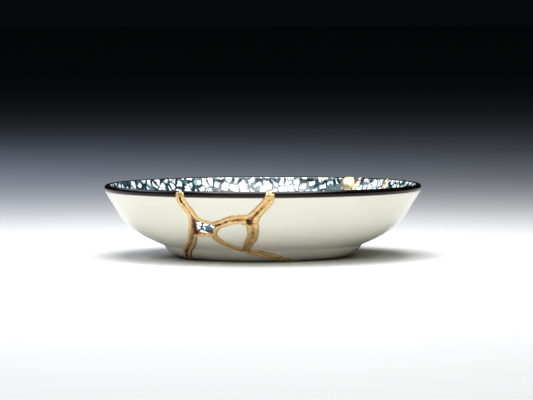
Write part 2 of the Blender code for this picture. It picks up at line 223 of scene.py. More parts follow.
# Hollows where the groove stays open or a bubble broke: bearing and reach, then length, width and depth in
# millimetres
PITS = [
    (-30.6, 1.76, 4.2, 0.90, 1.7),
    (-28.6, 1.50, 2.0, 0.50, 0.9),
    (-2.4, 1.44, 4.8, 0.70, 1.3),
    (-5.6, 1.372, 1.5, 1.00, 1.3),
    (-9.9, 1.328, 1.3, 0.90, 1.3),
    (-11.5, 1.322, 1.8, 0.60, 1.0),
    (-14.4, 1.290, 2.2, 0.70, 1.1),
    (-17.0, 1.240, 2.0, 0.90, 1.3),
    (-4.2, 1.167, 1.0, 0.70, 1.3),
    (-3.8, 1.100, 0.8, 0.65, 1.0),
    (-21.5, 1.228, 1.6, 0.60, 0.9),
    (-4.4, 1.010, 1.4, 0.90, 1.3),
    (-29.3, 1.080, 1.6, 1.00, 1.4),
    (-20.6, 1.090, 1.5, 1.00, 1.3),
    (-49.0, 0.665, 3.6, 0.80, 2.0),
    (-53.0, 0.600, 3.4, 1.20, 2.2),
    (8.0, 0.607, 4.6, 0.60, 1.5),
    (14.6, 0.560, 4.6, 0.90, 2.0),
]
PIT_LIFT = 0.5 * MM
FORK_PIT = 1.9 * MM
FORK_PIT_PLACE = (-5.3, 1.275)
FORK_PIT_TURN = 80.0
FORK_PIT_FLOOR = 0.1 * MM
FORK_PIT_DEPTH = 2.0 * MM

# The gold gives way to lacquer brown from some way below the beads' tops, and fully this much deeper
# Lacquer in the grooves, and painted shade: the hollows are painted darker the deeper they lie
DARK_BELOW = 0.3 * MM
DARK_BELOW_INSIDE = 0.15 * MM
DARK_DEPTH = 0.9 * MM

# Patches painted dark lacquer brown, part lacquer and part painted shade: bearing, reach, radius and strength
DARK_PATCHES = [
    # Painted shade: this one darkens the three-sided pit nearly black
    (-5.3, 1.275, 1.1 * MM, 2.40),
    (-27.6, 1.38, 1.5 * MM, 0.55),
    (-27.2, 1.28, 1.6 * MM, 0.75),
    (-27.9, 1.18, 1.5 * MM, 0.75),
    (-28.7, 1.08, 1.3 * MM, 0.70),
    (-20.6, 1.09, 1.1 * MM, 0.55),
    (-17.4, 1.23, 1.3 * MM, 0.50),
    (-14.4, 1.28, 1.1 * MM, 0.35),
    (-50.0, 0.66, 1.7 * MM, 0.60),
    (-53.0, 0.60, 1.8 * MM, 0.90),
    (-1.0, 0.672, 1.0 * MM, 0.45),
    (5.0, 0.643, 1.2 * MM, 0.45),
    (10.5, 0.615, 1.2 * MM, 0.50),
    (15.5, 0.565, 1.7 * MM, 0.80),
]

# The window's outline, as bearings and shares of the dish's height. It is cut level, towards the axis.
OPENING_RADIUS = 0.88 * RADIUS
PRISM_START = 0.4 * RADIUS
PRISM_LENGTH = 1.0 * RADIUS
WINDOW_BEARING = -24.0
WINDOW_OUTLINE = [
    (-28.4, 0.602), (-26.6, 0.614), (-24.7, 0.577), (-22.3, 0.555), (-19.2, 0.543), (-19.9, 0.495),
    (-21.2, 0.452), (-24.7, 0.425), (-28.4, 0.434), (-29.0, 0.52),
]
OPENING_BEARING = -12.0
OPENING_OUTLINE = [
    (-27.6, 0.615), (-26.2, 0.605), (-24.2, 0.572), (-22.0, 0.552), (-19.3, 0.545), (-19.9, 0.497),
    (-21.0, 0.452), (-24.2, 0.420), (-26.6, 0.428), (-27.8, 0.455), (-27.8, 0.53),
]
FILL_PLACE = (144.2, 0.905)
FILL_TILT = 33.0
NOTCH_OUTLINE = [(141.2, 0.915), (138.7, 1.0), (134.0, 1.16), (144.2, 1.16), (143.9, 1.0)]

# The photograph's camera: a long lens a little above the table
LENS = 242.7
SENSOR = 36.0
CAMERA_DISTANCE = 1.700
CAMERA_HEIGHT = 0.1179
CAMERA_ASIDE = 2.06 * MM
CAMERA_DIP = 3.075
CAMERA_ROLL = 0.2


def only(thing):
    """Makes one object the only selected one and the active one."""
    bpy.ops.object.select_all(action="DESELECT")
    thing.select_set(True)
    bpy.context.view_layer.objects.active = thing
    return thing


def smooth_curve(points, steps, closed=False):
    """A smooth curve through points (a Catmull-Rom spline), with some steps from each to the next."""
    points = [Vector(point) for point in points]
    if closed:
        knots = [points[-1]] + points + points[:2]
    else:
        knots = [2 * points[0] - points[1]] + points + [2 * points[-1] - points[-2]]
    made = [] if closed else [knots[1]]
    for k in range(1, len(knots) - 2):
        a, b, c, d = knots[k - 1 : k + 3]
        for step in range(1, steps + 1):
            t = step / steps
            bend = (2 * a - 5 * b + 4 * c - d) * t**2
            twist = (3 * b - a - 3 * c + d) * t**3
            made.append(0.5 * (2 * b + (c - a) * t + bend + twist))
    return made


def polar(start, angle, length):
    """The point at an angle and a distance from another."""
    turn = math.radians(angle)
    return (start[0] + length * math.cos(turn), start[1] + length * math.sin(turn))


def bezier(points, steps):
    """Points along a Bezier curve, with the first point left out."""
    made = []
    degree = len(points) - 1
    for step in range(1, steps + 1):
        t = step / steps
        weights = [math.comb(degree, k) * (1 - t) ** (degree - k) * t**k for k in range(degree + 1)]
        made.append(tuple(sum(w * p[axis] for w, p in zip(weights, points)) for axis in (0, 1)))
    return made


def outer_wall():
    """The outside of the wall from the top of the foot to the side of the lip, as radius and height."""
    foot_top = (FOOT_RADIUS, FOOT_HEIGHT)
    rim = (RADIUS, HEIGHT - WALL / 2)
    belly = (
        FOOT_RADIUS + BELLY_OUT * (rim[0] - FOOT_RADIUS),
        FOOT_HEIGHT + BELLY_UP * (rim[1] - FOOT_HEIGHT),
    )
    run = math.dist(foot_top, rim)
    lower = [
        foot_top,
        polar(foot_top, SLOPE_AT_FOOT, HANDLE_AT_FOOT * run),
        polar(belly, SLOPE_AT_BELLY + 180, HANDLE_BELOW_BELLY * run),
        belly,
    ]
    upper = [
        belly,
        polar(belly, SLOPE_AT_BELLY, HANDLE_ABOVE_BELLY * run),
        polar(rim, -90, HANDLE_AT_RIM * run),
        rim,
    ]
    return [foot_top] + bezier(lower, CURVE_STEPS) + bezier(upper, CURVE_STEPS)


def foot_outside():
    """The rounded outside of the foot, from the edge of its land up to the wall."""
    land = (FOOT_LAND_RADIUS, 0.0)
    spread = FOOT_RADIUS - FOOT_LAND_RADIUS
    shoulder = (FOOT_RADIUS - FOOT_SHOULDER * spread, FOOT_HEIGHT / 2)
    handle = (FOOT_LAND_RADIUS + FOOT_TURN * spread, 0.0)
    return [land] + bezier([land, handle, shoulder, (FOOT_RADIUS, FOOT_HEIGHT)], CURVE_STEPS)[:-1]


def underside():
    """The recessed base and the land of the foot, from the axis outwards."""
    land_inner = FOOT_LAND_RADIUS - FOOT_LAND_WIDTH
    return [(0.0, RECESS_HEIGHT), (land_inner - RECESS_DRAFT, RECESS_HEIGHT), (land_inner, 0.0)]


def normals_of(points):
    """The unit normal of each point of an open outline, to the right of its run."""
    made = []
    for k in range(len(points)):
        before = points[max(k - 1, 0)]
        after = points[min(k + 1, len(points) - 1)]
        run = (after[0] - before[0], after[1] - before[1])
        length = math.hypot(*run)
        made.append((run[1] / length, -run[0] / length))
    return made


def shifted(points, distance):
    """An open outline moved along its normals. A point on the axis stays on it."""
    made = []
    for point, normal in zip(points, normals_of(points)):
        radius = point[0] + distance * normal[0]
        if point[0] == 0.0:
            radius = 0.0
        made.append((radius, point[1] + distance * normal[1]))
    return made


def with_height(points, height):
    """A rising or falling outline with one more point where it crosses a height."""
    made = [points[0]]
    for a, b in zip(points, points[1:]):
        if (a[1] - height) * (b[1] - height) < 0:
            share = (height - a[1]) / (b[1] - a[1])
            made.append((a[0] + share * (b[0] - a[0]), height))
        made.append(b)
    return made


def lip(start, end):
    """The round lip, in degrees about the middle of the wall's edge."""
    centre = (RADIUS - WALL / 2, HEIGHT - WALL / 2)
    return [polar(centre, start + (end - start) * k / LIP_STEPS, WALL / 2) for k in range(LIP_STEPS + 1)]


def outside_profile():
    """The whole outside, from the middle of the underside to the top of the lip."""
    wall = with_height(outer_wall()[:-1] + lip(0, 90), HEIGHT - BAND_OUTSIDE)
    return underside() + foot_outside() + wall


def inside_profile():
    """The whole inside, from the top of the lip down to the middle of the floor."""
    wall = shifted(outer_wall(), -WALL)
    floor_height = RECESS_HEIGHT + FLOOR_THICKNESS
    low = wall[0]
    slope = math.tan(math.radians(SLOPE_AT_FOOT))
    meeting = (low[0] - (low[1] - floor_height) / slope, floor_height)
    flat = (2 * meeting[0] - low[0], floor_height)
    turn = bezier([low, meeting, flat], FLOOR_STEPS)
    rising = [point for point in wall if point[1] < HEIGHT - WALL]
    return with_height(lip(90, 180) + rising[::-1] + turn + [(0.0, floor_height)], HEIGHT - BAND_INSIDE)


def edit_whole_mesh():
    """Goes to edit mode, with everything in the mesh selected."""
    bpy.ops.object.mode_set(mode="EDIT")
    bpy.ops.mesh.select_all(action="SELECT")


def face_outwards():
    """Turns the selected faces outwards, and leaves edit mode."""
    bpy.ops.mesh.normals_make_consistent(inside=False)
    bpy.ops.object.mode_set(mode="OBJECT")


def set_solid():
    """The solid just added, with its place, its turn and its scale applied."""
    bpy.ops.object.transform_apply(location=True, rotation=True, scale=True)
    return bpy.context.object


def drawn_line(name, points, closed=False):
    """A line drawn through points, as a poly curve."""
    bpy.ops.curve.primitive_nurbs_path_add(location=(0, 0, 0))
    line = bpy.context.object
    line.name = name
    line.data.splines.clear()
    spline = line.data.splines.new("POLY")
    spline.points.add(len(points) - 1)
    for knot, point in zip(spline.points, points):
        knot.co = (*point, 1.0)
    spline.use_cyclic_u = closed
    return line


def turned(name, outside_shift, inside_shift):
    """The dish as one turned solid, with its outside and its inside each moved out by a distance."""
    outline = shifted(outside_profile(), outside_shift) + shifted(inside_profile(), inside_shift)
    dish = drawn_line(name, [(radius, 0.0, height) for radius, height in outline])
    bpy.ops.object.convert(target="MESH")
    edit_whole_mesh()
    bpy.ops.mesh.spin(steps=SEGMENTS, angle=math.tau, center=(0, 0, 0), axis=(0, 0, 1), use_auto_merge=True)
    bpy.ops.mesh.select_all(action="SELECT")
    bpy.ops.mesh.remove_doubles(threshold=0.005 * MM)
    face_outwards()
    return dish


def outwards_at(bearing):
    """The level direction away from the axis at a bearing."""
    turn = math.radians(bearing)
    return Vector((math.sin(turn), -math.cos(turn), 0.0))


def on_table(bearing, reach):
    """Where the ray through a crack's point meets the table."""
    return outwards_at(bearing) * reach * RADIUS


def apply_modifiers(thing):
    """Applies all of an object's modifiers, in their order."""
    only(thing)
    for modifier in list(thing.modifiers):
        bpy.ops.object.modifier_apply(modifier=modifier.name)


def cut(target, cutter, operation="DIFFERENCE", keep=False):
    """Applies one Boolean to the target. The cutter goes, unless it is kept for the next cut."""
    change = target.modifiers.new("cut", "BOOLEAN")
    change.operation = operation
    change.solver = "MANIFOLD"
    change.object = cutter
    apply_modifiers(target)
    if not keep:
        bpy.data.objects.remove(cutter, do_unlink=True)
    return target


def curtain(name, points, width):
    """A thin wall through the dish along a crack: a line on the table, drawn to the focus and thickened."""
    sheet = drawn_line(name, smooth_curve([on_table(*point) for point in points], 6))
    bpy.ops.object.convert(target="MESH")
    edit_whole_mesh()
    bpy.ops.transform.resize(value=(CURTAIN_TOP,) * 3, center_override=FOCUS)
    bpy.ops.mesh.extrude_region_move(TRANSFORM_OT_translate={"value": (0, 0, 0)})
    bpy.ops.transform.resize(value=(CURTAIN_FOOT / CURTAIN_TOP,) * 3, center_override=FOCUS)
    bpy.ops.object.mode_set(mode="OBJECT")
    thicken = sheet.modifiers.new("thicken", "SOLIDIFY")
    thicken.thickness = width
    thicken.offset = 0.0
    apply_modifiers(sheet)
    edit_whole_mesh()
    face_outwards()
    return sheet


def crack_walls():
    """The thin walls along all the cracks as one solid."""
    walls = None
    for crack, points in CRACKS.items():
        sheet = curtain(crack + "_wall", points, WEB)
        walls = cut(walls, sheet, "UNION") if walls else sheet
    walls.name = "crack_walls"
    return walls


def level_prism(name, bearing, outline, grown):
    """A prism cut level towards the axis, its outline given by bearings and shares of the height."""
    outwards = outwards_at(bearing)
    sideways = Vector((-outwards.y, outwards.x, 0.0))
    flat = []
    for point_bearing, share in outline:
        aside = OPENING_RADIUS * math.sin(math.radians(point_bearing - bearing))
        flat.append(Vector((aside, share * HEIGHT, 0.0)))
    middle = sum(flat, Vector()) / len(flat)
    ring = [point + (point - middle).normalized() * grown for point in smooth_curve(flat, 3, closed=True)]
    start = outwards * PRISM_START
    places = [start + sideways * point.x + Vector((0, 0, point.y)) for point in ring]
    prism = drawn_line(name, places, closed=True)
    bpy.ops.object.convert(target="MESH")
    edit_whole_mesh()
    bpy.ops.mesh.edge_face_add()
    bpy.ops.mesh.extrude_region_move(TRANSFORM_OT_translate={"value": outwards * PRISM_LENGTH})
    bpy.ops.mesh.select_all(action="SELECT")
    face_outwards()
    return prism


def fill_frame():
    """The middle of the round chip fill, and its axis square to the wall under the rim."""
    bearing, share = FILL_PLACE
    outwards = outwards_at(bearing)
    tilt = math.radians(FILL_TILT)
    axis = outwards * math.cos(tilt) - Vector((0, 0, math.sin(tilt)))
    centre = outwards * (RADIUS - WALL) + Vector((0, 0, share * HEIGHT))
    return centre, axis


def fill_cylinder(name, grown):
    """The round of the chip fill as a long cylinder."""
    centre, axis = fill_frame()
    bpy.ops.mesh.primitive_cylinder_add(
        vertices=FILL_SIDES, radius=FILL_RADIUS + grown, depth=8 * WALL, location=centre,
        rotation=axis.to_track_quat("Z", "Y").to_euler(),
    )
    cylinder = set_solid()
    cylinder.name = name
    return cylinder


OUTSIDE = outside_profile()
OUTLINE = np.array(OUTSIDE + inside_profile()[1:])
ALONG = np.concatenate([[0.0], np.cumsum(np.hypot(*np.diff(OUTLINE, axis=0).T))])
LIP_TOP = float(ALONG[len(OUTSIDE) - 1])


def outline_at(along):
    """The outline's radius and height at a distance along it, from the underside over the lip."""
    return np.stack([np.interp(along, ALONG, OUTLINE[:, k]) for k in (0, 1)], axis=-1)


def reach_at(along):
    """Where the ray from the focus through the outline meets the table, as a distance from the axis."""
    radius, height = np.moveaxis(outline_at(along), -1, 0)
    return radius * FOCUS.z / (FOCUS.z - height)


CLOSE = 0.2 * MM
OUTSIDE_ALONG = np.arange(0.0, LIP_TOP, CLOSE)
INSIDE_ALONG = np.arange(ALONG[-1], LIP_TOP, -CLOSE)
OUTSIDE_REACH = reach_at(OUTSIDE_ALONG)
INSIDE_REACH = reach_at(INSIDE_ALONG)
RIM_REACH = float(OUTSIDE_REACH[-1])


def on_outline(direction, along, proud=0.0):
    """The point of the dish's surface at a distance along its outline, moved off the surface."""
    radius, height = outline_at(along)
    run = outline_at(along + 2 * CLOSE) - outline_at(along - 2 * CLOSE)
    run /= max(float(np.hypot(*run)), 1e-9)
    radius += proud * run[1]
    height -= proud * run[0]
    return Vector((direction.x * radius, direction.y * radius, height))


def on_surface(spot, inside=False, proud=0.0):
    """The point of the dish's outside or inside on the ray from the focus to a spot on the table."""
    reach = math.hypot(spot.x, spot.y)
    reaches, alongs = (INSIDE_REACH, INSIDE_ALONG) if inside else (OUTSIDE_REACH, OUTSIDE_ALONG)
    along = float(np.interp(reach, reaches, alongs))
    return on_outline(Vector((spot.x, spot.y, 0.0)) / max(reach, 1e-9), along, proud)


def relief_at(height):
    """How far the beads stand proud at a height: less near the lip, where the gold is rubbed down."""
    near_lip = np.clip((height - (HEIGHT - LIP_FADE_START)) / LIP_FADE, 0.0, 1.0)
    return BEAD_RELIEF + (BEAD_RELIEF_ON_LIP - BEAD_RELIEF) * near_lip


SPREAD_PLACES = [(on_surface(on_table(*place)), spread) for place, spread in SPREADS.items()]


def broken_edge(shard):
    """A shard's broken edge as evenly spaced spots on the table. Each one's z is the gold's width there."""
    closed = shard in CLOSED_EDGES
    knots = []
    for edge in SHARD_EDGES[shard]:
        crack = edge.lstrip("-")
        points = CRACKS[crack]
        start, end = (width * MM for width in GOLD_WIDTHS[crack])
        made = [
            on_table(*point) + Vector((0, 0, start + (end - start) * k / (len(points) - 1)))
            for k, point in enumerate(points)
        ]
        if edge.startswith("-"):
            made.reverse()
        if knots and (knots[-1] - made[0]).xy.length < 1e-6:
            knots[-1].z = (knots[-1].z + made.pop(0).z) / 2
        knots += made
    if closed:
        knots.pop()
    line = smooth_curve(knots, 12, closed)
    if closed:
        line.append(line[0].copy())
    line = [spot for spot in line if closed or spot.xy.length <= RIM_REACH]
    places = [on_surface(spot) for spot in line]
    lengths = np.concatenate([[0.0], np.cumsum([(b - a).length for a, b in zip(places, places[1:])])])
    count = int(lengths[-1] / BEAD_SPACING)
    at = np.linspace(0.0, lengths[-1], count + 1)
    if closed:
        at = at[:-1]
    flat = np.array([tuple(spot) for spot in line])
    return [Vector(spot) for spot in np.stack([np.interp(at, lengths, flat[:, k]) for k in range(3)], axis=1)]


def smoothed(spots, closed, passes):
    """Evens out a line of spots, so that its corners are round. The ends of an open line stay."""
    flat = np.array([tuple(spot) for spot in spots])
    for _ in range(passes):
        mean = (np.roll(flat, 1, axis=0) + 2 * flat + np.roll(flat, -1, axis=0)) / 4
        if not closed:
            mean[0], mean[-1] = flat[0], flat[-1]
        flat = mean
    return [Vector(spot) for spot in flat]


def bead_line(shard):
    """The line of the bead along a shard's broken edge: its points and its radii."""
    closed = shard in CLOSED_EDGES
    spots = broken_edge(shard)
    count = len(spots)
    made = []
    for k, spot in enumerate(spots):
        before = spots[k - 1] if closed else spots[max(k - 1, 0)]
        after = spots[(k + 1) % count] if closed else spots[min(k + 1, count - 1)]
        here = on_surface(spot)
        width = spot.z
        for place, spread in SPREAD_PLACES:
            width += spread * math.exp(-(((here - place).length / SPREAD_REACH) ** 2))
        left = (FOCUS - here).cross(on_surface(after) - on_surface(before)).normalized()
        there = here + left * BEAD_PLACE_SHARE * width
        flat = Vector((there.x, there.y, 0.0)) * (FOCUS.z / (FOCUS.z - there.z))
        made.append(flat + Vector((0, 0, width)))
    made = smoothed(made, closed, CORNER_ROUNDING)
    points, radii = [], []
    for spot in made:
        radius = BEAD_RADIUS_SHARE * spot.z
        points.append(on_surface(spot, proud=relief_at(on_surface(spot).z) - radius))
        radii.append(radius)
    if not closed:
        first, first_radii = lip_wrap(made[0])
        last, last_radii = lip_wrap(made[-1])
        points = first[::-1] + points + last
        radii = first_radii[::-1] + radii + last_radii
    return points, radii


def lip_wrap(spot):
    """Carries a bead from the top of the lip over to the inside, where it thins out."""
    direction = Vector((spot.x, spot.y, 0.0)).normalized()
    points, radii = [], []
    steps = int(LIP_WRAP / BEAD_SPACING)
    for k in range(1, steps + 1):
        radius = BEAD_RADIUS_SHARE * spot.z * (1.0 - LIP_WRAP_THINNING * k / steps)
        relief = BEAD_RELIEF_ON_LIP * (1.0 - LIP_WRAP_SINKING * k / steps)
        points.append(on_outline(direction, LIP_TOP + k * BEAD_SPACING, relief - radius))
        radii.append(radius)
    return points, radii


def strand(name, points, radii, closed=False):
    """A bead of lacquer: a bevelled line whose thickness swells and thins along it."""
    line = drawn_line(name, points, closed)
    line.data.bevel_depth = 1.0
    line.data.bevel_resolution = 3
    line.data.use_fill_caps = True
    for knot, radius in zip(line.data.splines[0].points, radii):
        place = knot.co.xyz
        waver = noise.noise(place / LONG_WAVER) + 0.7 * noise.noise(place / SHORT_WAVER)
        knot.radius = radius * (1.0 + BEAD_SWELL * waver)
    bpy.ops.object.convert(target="MESH")
    return bpy.context.object


def crack_spots(points):
    """A crack as close spots on the table, up to the rim."""
    spots = smooth_curve([on_table(*point) for point in points], 10)
    return [spot for spot in spots if spot.length <= RIM_REACH]


def gold_strands():
    """The beads outside along every shard's edge, the fill of the grooves between them, the beads inside."""
    made = []
    for shard in SHARD_EDGES:
        points, radii = bead_line(shard)
        made.append(strand(shard + "_bead", points, radii, shard in CLOSED_EDGES))
    for crack, knots in CRACKS.items():
        spots = crack_spots(knots)
        outside = []
        for spot in spots:
            place = on_surface(spot)
            top = GROOVE_FILL_TOP + GROOVE_FILL_SWING * noise.noise(place / GROOVE_FILL_WAVE)
            top = min(top, relief_at(place.z) - GROOVE_DEPTH_LEAST)
            outside.append(on_surface(spot, proud=top - GROOVE_FILL))
        made.append(strand(crack + "_groove", outside, [GROOVE_FILL] * len(outside)))
        bead = THIN_INSIDE_BEAD if crack in THIN_INSIDE else INSIDE_BEAD
        relief = INSIDE_RELIEF * bead / INSIDE_BEAD
        inside = [on_surface(spot, inside=True, proud=relief - bead) for spot in spots]
        if knots[0][1] == BEYOND_RIM or knots[-1][1] == BEYOND_RIM:
            rim = spots[0] if knots[0][1] == BEYOND_RIM else spots[-1]
            over = [
                on_outline(rim.normalized(), LIP_TOP + step * CLOSE, BEAD_RELIEF_ON_LIP - bead)
                for step in range(12, -12, -3)
            ]
            inside = over[::-1] + inside if knots[0][1] == BEYOND_RIM else inside + over
        made.append(strand(crack + "_inside", inside, [bead] * len(inside)))
    return made


def gold_webs(walls):
    """Thin walls of lacquer through the porcelain along every crack, and the lining of the window."""
    cut(walls, turned("room", -WEB_SUNK, -WEB_SUNK), "INTERSECT")
    lining = level_prism("lining", WINDOW_BEARING, WINDOW_OUTLINE, WINDOW_LINING)
    cut(lining, turned("room", -LINING_SUNK, -LINING_SUNK), "INTERSECT")
    return cut(walls, lining, "UNION")


def crack_steps():
    """Every crack on the outside of the dish as short steps: their middles and their directions."""
    middles, runs = [], []
    for knots in CRACKS.values():
        places = [on_surface(spot) for spot in crack_spots(knots)]
        for a, b in zip(places, places[1:]):
            middles.append((a + b) / 2)
            runs.append((b - a).normalized())
    return middles, runs


def pit_cutters():
    """Small hollows to cut from the gold: long ones that lie along the crack, and a three-sided one."""
    made = []
    middles, runs = crack_steps()
    for bearing, reach, *sizes in PITS:
        length, width, depth = (size * MM for size in sizes)
        spot = on_table(bearing, reach)
        wanted = on_surface(spot)
        nearest = min(range(len(middles)), key=lambda k: (middles[k] - wanted).length)
        place = middles[nearest]
        up = (on_surface(spot, proud=MM) - wanted).normalized()
        along = (runs[nearest] - runs[nearest].dot(up) * up).normalized()
        axes = Matrix((along, up.cross(along), up)).transposed()
        bpy.ops.mesh.primitive_ico_sphere_add(
            subdivisions=3, radius=1.0, location=place + up * PIT_LIFT, rotation=axes.to_euler(),
            scale=(length / 2, width / 2, depth),
        )
        made.append(set_solid())
    place = on_surface(on_table(*FORK_PIT_PLACE))
    up = (on_surface(on_table(*FORK_PIT_PLACE), proud=MM) - place).normalized()
    turn = up.to_track_quat("Z", "Y") @ Quaternion((0, 0, 1), math.radians(FORK_PIT_TURN))
    bpy.ops.mesh.primitive_cone_add(
        vertices=3, radius1=0.7 * FORK_PIT, radius2=FORK_PIT, depth=FORK_PIT_DEPTH,
        location=place + up * (FORK_PIT_FLOOR + FORK_PIT_DEPTH / 2), rotation=turn.to_euler(),
    )
    return made + [set_solid()]


def joined(name, things):
    """Several objects as one, under a new name."""
    bpy.ops.object.select_all(action="DESELECT")
    for thing in things:
        thing.select_set(True)
    bpy.context.view_layer.objects.active = things[0]
    bpy.ops.object.join()
    things[0].name = name
    return things[0]


def fused(thing, voxel):
    """Overlapping closed forms fused into one skin."""
    skin = thing.modifiers.new("skin", "REMESH")
    skin.mode = "VOXEL"
    skin.voxel_size = voxel
    skin.use_smooth_shade = True
    apply_modifiers(thing)


def lumps(thing, name, size, strength):
    """Soft lumps in the lacquer, pushed out and in along the surface's normals."""
    cloud = bpy.data.textures.new(name, "CLOUDS")
    cloud.noise_scale = size
    push = thing.modifiers.new(name, "DISPLACE")
    push.texture = cloud
    push.strength = strength
    push.mid_level = 0.5
    apply_modifiers(thing)


OUTLINE_CLOSE = outline_at(np.arange(0.0, ALONG[-1], CLOSE))


def places_of(mesh_data):
    """The vertices of a mesh as rows of x, y and z."""
    places = np.empty(len(mesh_data.vertices) * 3)
    mesh_data.vertices.foreach_get("co", places)
    return places.reshape(-1, 3)


def nearest_on_outline(places):
    """For each place, how far along the outline its nearest point lies, and how far it stands off it."""
    flat = np.stack([np.hypot(places[:, 0], places[:, 1]), places[:, 2]], axis=1)
    run = np.gradient(OUTLINE_CLOSE, axis=0)
    run /= np.maximum(np.hypot(*run.T), 1e-12)[:, None]
    normal = np.stack([run[:, 1], -run[:, 0]], axis=1)
    along = np.empty(len(flat))
    heights = np.empty(len(flat))
    for start in range(0, len(flat), 4000):
        some = flat[start : start + 4000]
        gap = some[:, None, :] - OUTLINE_CLOSE[None, :, :]
        near = np.argmin((gap**2).sum(axis=2), axis=1)
        gap = gap[np.arange(len(some)), near]
        along[start : start + 4000] = near * CLOSE + (gap * run[near]).sum(axis=1)
        heights[start : start + 4000] = (gap * normal[near]).sum(axis=1)
    return along, heights


def hex_colour(code):
    """A colour as the shader wants it, from its sRGB hex code."""
    made = []
    for k in (1, 3, 5):
        value = int(code[k : k + 2], 16) / 255
        made.append(value / 12.92 if value <= 0.04045 else ((value + 0.055) / 1.055) ** 2.4)
    return (*made, 1.0)


def node(tree, kind, sockets=None, **settings):
    """Adds a node with its settings. Each socket gets a plain value, or a link from a node or an output."""
    made = tree.nodes.new(kind)
    for name, value in settings.items():
        setattr(made, name, value)
    for socket, value in (sockets or {}).items():
        if isinstance(value, bpy.types.Node):
            tree.links.new(value.outputs[0], made.inputs[socket])
        elif isinstance(value, bpy.types.NodeSocket):
            tree.links.new(value, made.inputs[socket])
        else:
            made.inputs[socket].default_value = value
    return made


def mixed(tree, factor, first, second):
    """A colour between two others."""
    made = node(tree, "ShaderNodeMix", {"Factor": factor, 6: first, 7: second}, data_type="RGBA")
    return made.outputs[2]


def ranged(tree, value, source, target):
    """A value carried from one range to another and kept inside it."""
    sockets = {"Value": value}
    for name, number in zip(("From Min", "From Max", "To Min", "To Max"), (*source, *target)):
        sockets[name] = number
    return node(tree, "ShaderNodeMapRange", sockets).outputs["Result"]


def sum_of(tree, operation, *values):
    """The result of one sum on plain values or outputs."""
    return node(tree, "ShaderNodeMath", dict(enumerate(values)), operation=operation).outputs[0]


def vector_sum(tree, operation, *values):
    """One sum on vectors, as a node with a vector and a value."""
    return node(tree, "ShaderNodeVectorMath", dict(enumerate(values)), operation=operation)


def noise_at(tree, place, scale, detail, **settings):
    """Soft noise at a place."""
    sockets = {"Vector": place, "Scale": scale, "Detail": detail}
    return node(tree, "ShaderNodeTexNoise", sockets, **settings)


def bumped(tree, strength, distance, height):
    """The surface's normal, bumped by a height."""
    return node(tree, "ShaderNodeBump", {"Strength": strength, "Distance": distance, "Height": height})


def new_material(name):
    """An empty material and its node tree."""
    made = bpy.data.materials.new(name)
    made.use_nodes = True
    made.node_tree.nodes.clear()
    return made, made.node_tree


def finished(made, sockets):
    """A material with its surface and its output."""
    shader = node(made.node_tree, "ShaderNodeBsdfPrincipled", sockets)
    node(made.node_tree, "ShaderNodeOutputMaterial", {"Surface": shader})
    return made


def cream_glaze():
    """Clear glaze on a cream porcelain body, fired glossy: a few iron specks and a very slight ripple."""
    made, tree = new_material("cream_glazed_porcelain")
    place = node(tree, "ShaderNodeTexCoord").outputs["Object"]
    drift = noise_at(tree, place, 1 / 0.030, 2.0)
    body = mixed(tree, drift, hex_colour("#F4F2E3"), hex_colour("#EBE8D6"))
    specks = node(tree, "ShaderNodeTexVoronoi", {"Vector": place, "Scale": 1 / 0.006})
    speck = ranged(tree, specks.outputs["Distance"], (0.025, 0.045), (0.5, 0.0))
    specked = mixed(tree, speck, body, hex_colour("#A08B66"))
    height = node(tree, "ShaderNodeSeparateXYZ", {"Vector": place}).outputs["Z"]
    band = HEIGHT - BAND_OUTSIDE
    fringe = ranged(tree, height, (band - 0.45 * MM, band), (0.0, 0.75))
    colour = mixed(tree, fringe, specked, hex_colour("#7A5A44"))
    bump = bumped(tree, 0.05, 0.2 * MM, noise_at(tree, place, 1 / 0.005, 1.0))
    return finished(made, {"Base Color": colour, "Roughness": 0.13, "IOR": 1.5, "Normal": bump})


def black_enamel():
    """Brown-black overglaze enamel painted on the lip, glossy and a little uneven."""
    made, tree = new_material("black_overglaze_enamel")
    place = node(tree, "ShaderNodeTexCoord").outputs["Object"]
    drift = noise_at(tree, place, 1 / 0.004, 3.0)
    colour = mixed(tree, drift, hex_colour("#060504"), hex_colour("#120C09"))
    gloss = ranged(tree, drift, (0.0, 1.0), (0.08, 0.18))
    sockets = {"Base Color": colour, "Roughness": gloss, "IOR": 1.5, "Specular IOR Level": 0.3}
    return finished(made, sockets)


def unglazed_foot():
    """Bare porcelain where the foot stood in the kiln, matt and slightly sandy."""
    made, tree = new_material("unglazed_porcelain")
    place = node(tree, "ShaderNodeTexCoord").outputs["Object"]
    grit = noise_at(tree, place, 1 / 0.0006, 4.0)
    colour = mixed(tree, grit, hex_colour("#D8CCB2"), hex_colour("#B5A484"))
    bump = bumped(tree, 0.4, 0.1 * MM, grit)
    return finished(made, {"Base Color": colour, "Roughness": 0.75, "Normal": bump})


def scattered(tree, place, spacing, randomness):
    """Loose spots on the print's map: the nearest one's place, and the way from it to this place."""
    cells = node(
        tree, "ShaderNodeTexVoronoi", {"Vector": place, "Scale": 1 / spacing, "Randomness": randomness},
        voronoi_dimensions="2D", feature="F1",
    )
    nearest = cells.outputs["Position"]
    return nearest, vector_sum(tree, "SUBTRACT", place, nearest)


